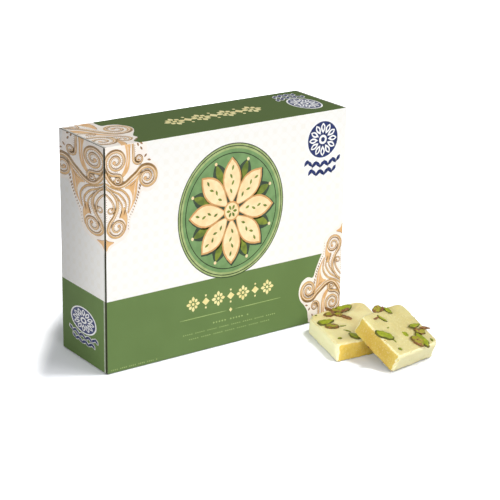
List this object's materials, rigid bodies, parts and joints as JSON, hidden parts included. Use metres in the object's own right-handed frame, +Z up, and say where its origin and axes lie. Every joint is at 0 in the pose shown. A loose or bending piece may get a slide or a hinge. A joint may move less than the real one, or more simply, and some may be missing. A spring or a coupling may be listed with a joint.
{
  "type": "box of barfi",
  "caption": "Printed tuck-end carton of barfi standing on its long side, with opening ends, a packed tray inside and loose pieces in front.",
  "frame": {"origin": "middle of the carton's base", "axes": "+X along the front to its right, -Y out of the printed front, +Z up"},
  "size_m": [0.1715, 0.1349, 0.127],
  "materials": {
    "printed_white_board": "satin",
    "printed_green_board": "satin",
    "plain_board": "matte",
    "tray_board": "matte",
    "greaseproof_paper": "satin",
    "barfi": "matte",
    "pistachio": "satin"
  },
  "bodies": {
    "carton": {"front_panel": "printed_white_board", "top_panel": "printed_green_board", "back_panel": "printed_white_board", "bottom_panel": "printed_green_board", "glue_flap": "plain_board", "tray": "tray_board", "liner_sheet": "greaseproof_paper", "rear_separator_sheet": "greaseproof_paper", "front_separator_sheet": "greaseproof_paper", "cover_sheet": "greaseproof_paper", "barfi_back_layer": "barfi", "barfi_middle_layer": "barfi", "barfi_front_1": "barfi", "barfi_front_2": "barfi", "barfi_front_3": "barfi", "barfi_front_4": "barfi", "barfi_front_5": "barfi", "barfi_front_6": "barfi", "barfi_front_7": "barfi", "barfi_front_8": "barfi", "barfi_front_9": "barfi", "barfi_front_10": "barfi", "pistachios_back_layer": "pistachio", "pistachios_middle_layer": "pistachio", "pistachios_front_layer": "pistachio"},
    "left_closure_panel": {"left_closure": "printed_white_board"},
    "left_tab": {"left_tuck_tab": "plain_board"},
    "left_upper_flap": {"left_upper_dust_flap": "plain_board"},
    "left_lower_flap": {"left_lower_dust_flap": "plain_board"},
    "right_closure_panel": {"right_closure": "printed_white_board"},
    "right_tab": {"right_tuck_tab": "plain_board"},
    "right_upper_flap": {"right_upper_dust_flap": "plain_board"},
    "right_lower_flap": {"right_lower_dust_flap": "plain_board"},
    "flat_piece": {"loose_barfi_flat": "barfi", "loose_flat_pistachios": "pistachio"},
    "leaning_piece": {"loose_barfi_leaning": "barfi", "loose_leaning_pistachios": "pistachio"}
  },
  "joints": [
    {"name": "left_closure_fold", "type": "hinge", "parent": "carton", "child": "left_closure_panel", "pos_m": [-0.07955, 0.02355, 0], "axis": [0, 0, -1], "range_deg": [0, 135]},
    {"name": "left_tab_fold", "type": "hinge", "parent": "left_closure_panel", "child": "left_tab", "pos_m": [-0.07955, -0.0225, 0], "axis": [0, 0, 1], "range_deg": [0, 40.5]},
    {"name": "left_upper_flap_fold", "type": "hinge", "parent": "carton", "child": "left_upper_flap", "pos_m": [-0.07875, 0, 0.12655], "axis": [0, 1, 0], "range_deg": [0, 81]},
    {"name": "left_lower_flap_fold", "type": "hinge", "parent": "carton", "child": "left_lower_flap", "pos_m": [-0.07875, 0, 0.00045], "axis": [0, -1, 0], "range_deg": [0, 81]},
    {"name": "right_closure_fold", "type": "hinge", "parent": "carton", "child": "right_closure_panel", "pos_m": [0.07955, 0.02355, 0], "axis": [0, 0, 1], "range_deg": [0, 135]},
    {"name": "right_tab_fold", "type": "hinge", "parent": "right_closure_panel", "child": "right_tab", "pos_m": [0.07955, -0.0225, 0], "axis": [0, 0, -1], "range_deg": [0, 40.5]},
    {"name": "right_upper_flap_fold", "type": "hinge", "parent": "carton", "child": "right_upper_flap", "pos_m": [0.07875, 0, 0.12655], "axis": [0, -1, 0], "range_deg": [0, 81]},
    {"name": "right_lower_flap_fold", "type": "hinge", "parent": "carton", "child": "right_lower_flap", "pos_m": [0.07875, 0, 0.00045], "axis": [0, 1, 0], "range_deg": [0, 81]},
    {"name": "flat_piece_lift", "type": "slide", "parent": "carton", "child": "flat_piece", "axis": [0, 0, 1], "range_m": [0, 0.06]},
    {"name": "leaning_piece_lift", "type": "slide", "parent": "flat_piece", "child": "leaning_piece", "axis": [0, 0, 1], "range_m": [0, 0.06]}
  ],
  "couplings": [
    {"joint": "left_tab_fold", "follows": "left_closure_fold", "ratio": 0.3},
    {"joint": "left_upper_flap_fold", "follows": "left_closure_fold", "ratio": 0.6},
    {"joint": "left_lower_flap_fold", "follows": "left_closure_fold", "ratio": 0.6},
    {"joint": "right_tab_fold", "follows": "right_closure_fold", "ratio": 0.3},
    {"joint": "right_upper_flap_fold", "follows": "right_closure_fold", "ratio": 0.6},
    {"joint": "right_lower_flap_fold", "follows": "right_closure_fold", "ratio": 0.6}
  ]
}
